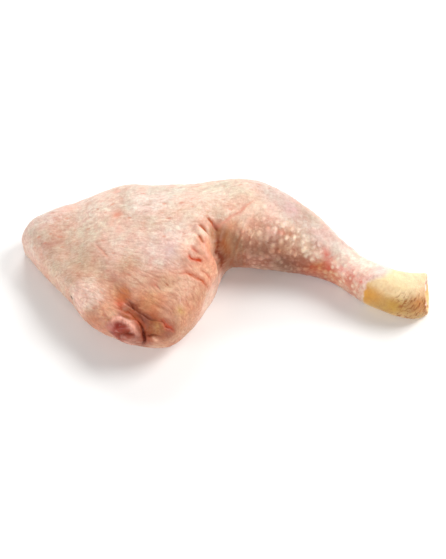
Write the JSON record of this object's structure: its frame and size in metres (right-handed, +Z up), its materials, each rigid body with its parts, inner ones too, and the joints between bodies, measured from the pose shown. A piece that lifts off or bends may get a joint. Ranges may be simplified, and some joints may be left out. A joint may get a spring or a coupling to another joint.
{
  "type": "raw chicken leg",
  "caption": "Whole raw chicken leg with its skin: broad thigh, drumstick bent at the knee, and a cut yellow hock, lying skin side up.",
  "frame": {"origin": "on the surface that the leg lies on, under the middle of its box", "axes": "+Z up out of the skin side; +X from the hip end to the cut hock; the crook of the knee opens towards -Y"},
  "size_m": [0.2258, 0.1086, 0.0441],
  "materials": {
    "skin": "moist pale pink poultry skin, yellow and scaly past the ankle",
    "bone": "moist pinkish white bone and cartilage"
  },
  "bodies": {
    "root": {"leg": "skin", "shin_bone": "bone"}
  },
  "joints": []
}
